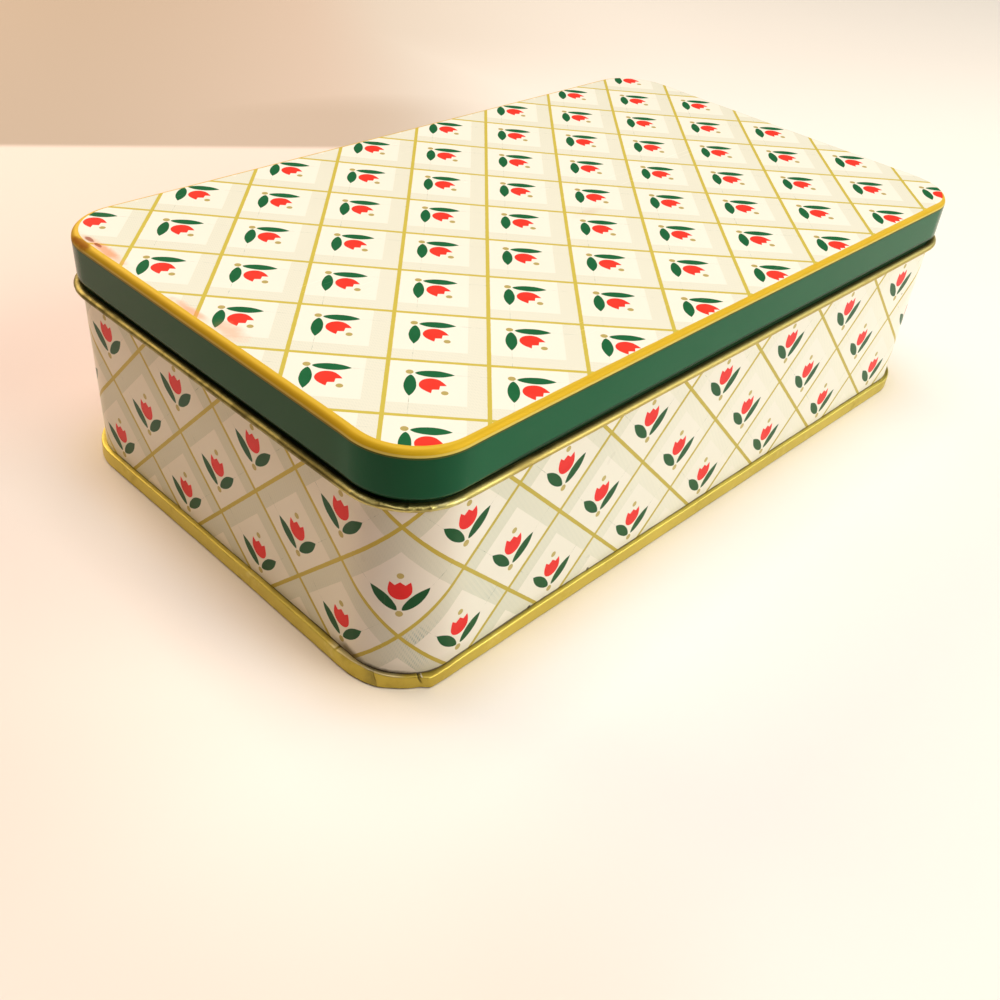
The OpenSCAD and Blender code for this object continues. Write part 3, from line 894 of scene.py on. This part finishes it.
def seam_lift(s, Z):
    """Unevenness of the seam's top edge."""
    up = np.clip((Z - 1.2) / 2.3, 0, 1)
    k = [-150, -40, -20, -12, -6, -3, 0, 3, 5.5, 6.5, 8, 10, 12, 16, 24, 34, 400]
    v = [-0.20, -0.20, -0.35, -0.55, -0.60, -0.70, -0.75, -0.85, -1.05, -1.05, -0.95, -0.90, -0.75, -0.60, -0.50, -0.32, -0.30]
    dz = np.interp(s, k, v) + 0.035 * wander(s, 6.0, 23) + 0.03 * wander(s, 1.9, 24) * (0.3 + corner_weight(s))
    dz = dz - 0.25 * np.exp(-((s - 3.46) / 0.20) ** 2) + 0.08 * np.exp(-((s - 3.05) / 0.25) ** 2)
    dz = dz - 0.22 * np.exp(-((s + 12.7) / 0.30) ** 2)
    return up * dz[:, None]


def in_seam(U, Z):
    """The folded layers outside the wall, which bend together."""
    return ((U > 0.005) & (Z < SEAM_H + 0.01)).astype(float)


def seam_bend(s, U, Z):
    w = in_seam(U, Z)
    o1 = 3 * T + 3 * GAP
    return w * seam_shape(s, Z) * U / o1, w * seam_lift(s, Z)


def make_base():
    prof, slots, sharp = [], [], []

    def add(points, slot, hard=False):
        for p in points:
            if hard:
                sharp.append(len(prof))
            prof.append(p)
            slots.append(slot)

    i0, o1 = -2 * T - GAP, 3 * T + 3 * GAP
    tz = PANEL_Z + T
    f, g = 0.28, 0.42
    # top of the panel, from the middle out, with its pressed step
    add([(-11.6, tz + 0.0)], 1)
    add([(-10.55, tz), (-10.35, tz + 0.05), (-10.15, tz + 0.22), (-9.95, tz + 0.28), (-9.4, tz + 0.28), (-9.2, tz + 0.22),
         (-9.0, tz + 0.05), (-8.8, tz), (-5.0, tz), (-0.9, tz)], 1)
    add([(-T - GAP, tz), (-T - GAP, T), (o1 - T, T), (o1 - T, SEAM_H - T), (T + GAP, SEAM_H - T),
         (T + GAP, SEAM_H - 1.8), (GAP, SEAM_H - 1.8), (GAP, SEAM_H - 0.02)], 0, True)
    add([(0.10, SEAM_H)], 0)
    add(arc_points(o1 - f, SEAM_H - f, f, 90, 0, 8), 0)
    add([(o1, z) for z in np.linspace(SEAM_H - f - 0.3, g + 0.3, 7)], 0)
    add(arc_points(o1 - g, g, g, 0, -90, 8), 0)
    add(arc_points(i0 + g, g, g, -90, -180, 8), 0)
    add([(i0, 1.6), (i0, PANEL_Z - 0.35)], 0)
    add(arc_points(i0 - 0.3, PANEL_Z - 0.3, 0.3, 0, 90, 4), 1)
    bz = PANEL_Z
    add([(-5.0, bz), (-8.8, bz), (-9.0, bz + 0.05), (-9.2, bz + 0.22), (-9.4, bz + 0.28), (-9.95, bz + 0.28),
         (-10.15, bz + 0.22), (-10.35, bz + 0.05), (-10.55, bz), (-11.6, bz)], 1)
    caps = [(0, True), (len(prof) - 1, False)]
    return sweep("base_with_seam", prof, slots, sharp, [SEAM_GOLD, PANEL_GOLD], S, seam_bend, caps, [1, 1])


def lid_bend(s, U, Z):
    """Slight waves in the skirt; the lid's top stays flat. The lid sits a touch
    proud at the front left corner, and its skirt is a shade longer in front."""
    dU, dZ = np.zeros_like(U), np.zeros_like(Z)
    push = np.interp(s, [-22, -12, -2, 4, 15, 27, 51, 80], [0, 0.06, 0.45, 0.62, 0.42, 0.30, 0.17, 0.0])
    dU += push[:, None] * np.clip((U + 8) / 6, 0, 1)
    y = np.array([at(a)[0][1] for a in s])
    longer = 0.40 * np.clip((44 - y) / 12, 0, 1)
    dZ -= longer[:, None] * np.clip((SKIRT_Z0 + 6 - Z) / 5, 0, 1)
    skirt = np.clip((LID_Z - 1.5 - Z) / 4.0, 0, 1) * (U > -0.2)
    dU += (0.035 * wander(s, 26.0, 31) + 0.012 * wander(s, 6.0, 32))[:, None] * skirt
    foot = np.clip((SKIRT_Z0 + 1.2 - Z) / 1.2, 0, 1)
    dZ += (0.05 * wander(s, 22.0, 33) + 0.02 * wander(s, 5.0, 34))[:, None] * foot
    return dU, dZ


def dish(P):
    """The lid's panel sinks towards its middle."""
    hx, hy = LEN / 2, WID / 2
    k = np.clip(1 - (P[:, 0] / hx) ** 2, 0, 1) * np.clip(1 - (P[:, 1] / hy) ** 2, 0, 1)
    P[:, 2] -= SAG * k * (P[:, 2] > LID_Z - 0.45)
    return P


def make_lid():
    prof, slots, sharp = [], [], []

    def add(points, slot, hard=False):
        for p in points:
            if hard:
                sharp.append(len(prof))
            prof.append(p)
            slots.append(slot)

    so = SKIRT_OUT
    add([(-12.0, LID_Z), (-8.0, LID_Z), (-4.0, LID_Z), (-2.0, LID_Z), (-1.2, LID_Z)], 0)
    add(arc_points(so - EDGE_R, LID_Z - EDGE_R, EDGE_R, 90, 0, 14), 0)
    dr = ROLL_R - ROLL_IN
    ca, sa = math.cos(math.radians(ROLL_A)), math.sin(math.radians(ROLL_A))
    rz = SKIRT_Z0 + ROLL_IN + dr * sa
    ru, iu, iz = so - ROLL_R, so - ROLL_R + dr * ca, rz - dr * sa
    add([(so, z) for z in np.linspace(LID_Z - EDGE_R - 0.5, rz + 0.35, 9)], 0)
    add(arc_points(ru, rz, ROLL_R, 0, -ROLL_A, 8), 0)
    add(arc_points(iu, iz, ROLL_IN, -ROLL_A, -200, 14)[1:], 0)
    sharp.append(len(prof) - 1)
    add(arc_points(iu, iz, ROLL_IN - T, -200, -ROLL_A, 7), 1)
    sharp.append(len(prof) - 8)
    add(arc_points(ru, rz, ROLL_R - T, -ROLL_A, 0, 6)[1:], 1)
    add([(so - T, rz + 2.0), (so - T, LID_Z - EDGE_R - 1.0)], 1)
    add(arc_points(so - EDGE_R, LID_Z - EDGE_R, EDGE_R - T, 0, 90, 8), 1)
    add([(-2.0, LID_Z - T), (-6.0, LID_Z - T), (-12.0, LID_Z - T)], 1)
    caps = [(0, True), (len(prof) - 1, False)]
    nx, ny = 28, 14
    hx, hy = LEN / 2 - 12.0, WID / 2 - 12.0
    inner = [(lerp(-hx, hx, (i + 0.5) / nx), lerp(-hy, hy, (j + 0.5) / ny)) for i in range(nx) for j in range(ny)]
    ob = sweep("lid_printed", prof, slots, sharp, [LID_PRINT, INSIDE_GOLD], S, lid_bend, caps, [0, 1], dish, inner)
    for x in (-HINGE_X, HINGE_X):
        cut_box(ob, (x - WINDOW_L / 2, WID / 2 - 2, SKIRT_Z0 - 1), (x + WINDOW_L / 2, WID / 2 + 2, WINDOW_Z))
    return ob


wall = make_wall()
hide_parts("body_wall")
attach(wall, "tin_body")

base = make_base()
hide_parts("bottom_panel")
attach(base, "tin_body")

lid = make_lid()
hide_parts("lid_shell")
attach(lid, "lid")

# lock seam of the wall sheet, up the middle of the back
def make_lock_seam():
    me = bpy.data.meshes.new("body_lock_seam")
    xs = [-1.6, -1.45, -1.3, -0.5, 0.5, 1.3, 1.45, 1.6]
    hs = [0.02, 0.20, 0.28, 0.30, 0.30, 0.28, 0.20, 0.02]
    zs = list(np.linspace(SEAM_H + 0.12, 39.3, 40))
    wob = hash_noise(77, len(zs)) * 0.02
    verts, faces = [], []
    n = len(xs)
    for i, z in enumerate(zs):
        for x, h in zip(xs, hs):
            verts.append((x + wob[i], WID / 2 + h + 0.3 * wob[i], z))
        for x in (xs[-1], xs[0]):
            verts.append((x + wob[i], WID / 2 - 0.12, z))
    m = n + 2
    for i in range(len(zs) - 1):
        for k in range(m):
            l = (k + 1) % m
            faces.append((i * m + k, (i + 1) * m + k, (i + 1) * m + l, i * m + l))
    faces.append(tuple(range(m)))
    faces.append(tuple((len(zs) - 1) * m + k for k in reversed(range(m))))
    me.from_pydata([(a * MM, b * MM, c * MM) for a, b, c in verts], [], faces)
    me.materials.append(INSIDE_GOLD)
    me.polygons.foreach_set("use_smooth", [len(f) == 4 for f in faces])
    me.validate()
    ob = bpy.data.objects.new("body_lock_seam", me)
    bpy.context.scene.collection.objects.link(ob)
    import bmesh
    bm = bmesh.new()
    bm.from_mesh(me)
    bmesh.ops.recalc_face_normals(bm, faces=bm.faces)
    bm.to_mesh(me)
    bm.free()
    return ob


lock = make_lock_seam()
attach(lock, "tin_body")


def dress(node, mat):
    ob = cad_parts[node]
    ob.data.materials.clear()
    ob.data.materials.append(mat)


dress("inner_collar", NECK_GOLD)
for side in ("left", "right"):
    dress("hinge_body_leaf_" + side, HINGE_GOLD)
    dress("hinge_lid_leaf_" + side, HINGE_GOLD)
    dress("hinge_pin_" + side, WIRE)


# -------------------------------------------------------------------- stage
def stage_material(name, colour, far, rough=0.75):
    """Pale floor; beyond a line behind the tin it turns a shade darker."""
    net = Net(name)
    co = V(net, net.node("ShaderNodeTexCoord").outputs["Object"])
    x, y, _ = split(net, co.s)
    n = net.noise(co, 9.0, 3.0, 0.5, 201.0)
    col = net.mix(n, tuple(c * 0.985 for c in colour), colour)
    along = x * 0.8305 - y * 0.5570
    away = x * 0.5570 + y * 0.8305
    # painted light: the floor is drawn warmer on the left
    col = net.mix(net.step(along, 0.012, -0.040), col, net.mix(n, (0.945, 0.803, 0.720), (0.96, 0.815, 0.730)))
    side = net.step(along, 0.15, -0.15)
    beyond = net.step(away, 0.1665, 0.1715) * net.step(along, 0.09, -0.01)
    beyond = beyond.max(net.step(away, 0.165, 0.32))
    foot = net.step(away, 0.28, 0.20) * net.step(along, 0.10, -0.03) * 0.82
    col = net.mix(beyond * (side * 0.82 + 0.10).max(foot), col, far)
    # painted light: the floor is drawn lighter in the tin's shadow on the left, and warm right beside the foot as a
    # painted glow thrown by the gold seam
    qx = (x.abs() - (LEN / 2 - RAD) * MM).max(0.0)
    qy = (y.abs() - (WID / 2 - RAD) * MM).max(0.0)
    off = ((qx * qx + qy * qy).sqrt() - (RAD + 0.96) * MM) * 1000.0
    left = net.step(x + y * 0.6, -0.03, -0.09)
    col = net.mix(net.step(off, 70.0, 4.0) * left * 0.85, col, (1.0, 0.985, 0.93))
    col = net.mix(net.step(off, 13.0, 0.0) * (left * 0.30 + 0.50), col, (1.0, 0.88, 0.71))
    net.feed(net.bsdf.inputs["Base Color"], col)
    net.bsdf.inputs["Roughness"].default_value = rough
    net.bsdf.inputs["Specular IOR Level"].default_value = 0.2
    return net.mat


def plane(name, corners, mat):
    me = bpy.data.meshes.new(name)
    me.from_pydata(corners, [], [(0, 1, 2, 3)])
    me.materials.append(mat)
    ob = bpy.data.objects.new(name, me)
    bpy.context.scene.collection.objects.link(ob)
    return ob


FLOOR = stage_material("stage_floor", (0.96, 0.930, 0.870), (0.520, 0.425, 0.330))
plane("stage_floor_plane", [(-3, -3, 0), (3, -3, 0), (3, 3, 0), (-3, 3, 0)], FLOOR)


def area(name, loc, target, size, power, colour, size_y=None):
    d = bpy.data.lights.new(name, "AREA")
    d.energy = power
    d.color = colour
    d.shape = "RECTANGLE"
    d.size = size
    d.size_y = size_y or size
    ob = bpy.data.objects.new(name, d)
    bpy.context.scene.collection.objects.link(ob)
    ob.location = loc
    ob.rotation_mode = "QUATERNION"
    ob.rotation_quaternion = (Vector(target) - Vector(loc)).to_track_quat("-Z", "Y")
    return ob


area("top_soft", (-0.02, 0.02, 1.0), (-0.02, 0.02, 0.0), 0.7, 6.75, (1.0, 0.91, 0.90))
area("right_far", (0.95, -0.35, 0.55), (0.05, 0.0, 0.02), 0.6, 2.4, (0.90, 0.99, 1.0), 0.5)
area("front_right", (0.35, -0.65, 0.45), (0.0, 0.0, 0.02), 0.5, 3.0, (1.0, 1.0, 0.89))
area("front", (0.32, -0.95, 0.60), (0.0, 0.0, 0.02), 0.7, 3.1, (1.0, 0.94, 0.82), 0.5)
area("back_soft", (-0.10, 0.80, 0.50), (0.0, 0.0, 0.02), 0.7, 5.2, (1.0, 0.745, 0.48), 0.5)

world = bpy.data.worlds.new("studio")
bpy.context.scene.world = world
world.use_nodes = True
wt = world.node_tree
wt.nodes.clear()
wo = wt.nodes.new("ShaderNodeOutputWorld")
bg = wt.nodes.new("ShaderNodeBackground")
bg.inputs[0].default_value = (1.0, 0.90, 0.77, 1.0)
bg.inputs[1].default_value = 0.012
wt.links.new(bg.outputs[0], wo.inputs[0])

# ------------------------------------------------------------------- camera
cam_data = bpy.data.cameras.new("camera")
cam = bpy.data.objects.new("camera", cam_data)
bpy.context.scene.collection.objects.link(cam)
right = Vector((0.701031, -0.708456, 0.081525))
down = Vector((-0.388328, -0.475121, -0.789592))
ahead = Vector((0.598129, 0.521870, -0.608193))
spot = Vector((-3.76245, -4.06922, 4.68350)) * H
spot = (spot + Vector((-LEN / 2, -WID / 2, 36.17))) * MM
cam.matrix_world = Matrix((
    (right.x, -down.x, -ahead.x, spot.x),
    (right.y, -down.y, -ahead.y, spot.y),
    (right.z, -down.z, -ahead.z, spot.z),
    (0, 0, 0, 1)))
cam_data.sensor_width = 36.0
cam_data.lens = 36.0 * 1.12651
cam_data.clip_start, cam_data.clip_end = 0.01, 20.0
bpy.context.scene.camera = cam

scene = bpy.context.scene
scene.view_settings.view_transform = "Standard"
scene.view_settings.look = "None"
scene.view_settings.exposure = 0.0
scene.view_settings.gamma = 1.0
scene.cycles.max_bounces = 8
scene.cycles.diffuse_bounces = 4
scene.cycles.glossy_bounces = 4
scene.cycles.use_denoising = True
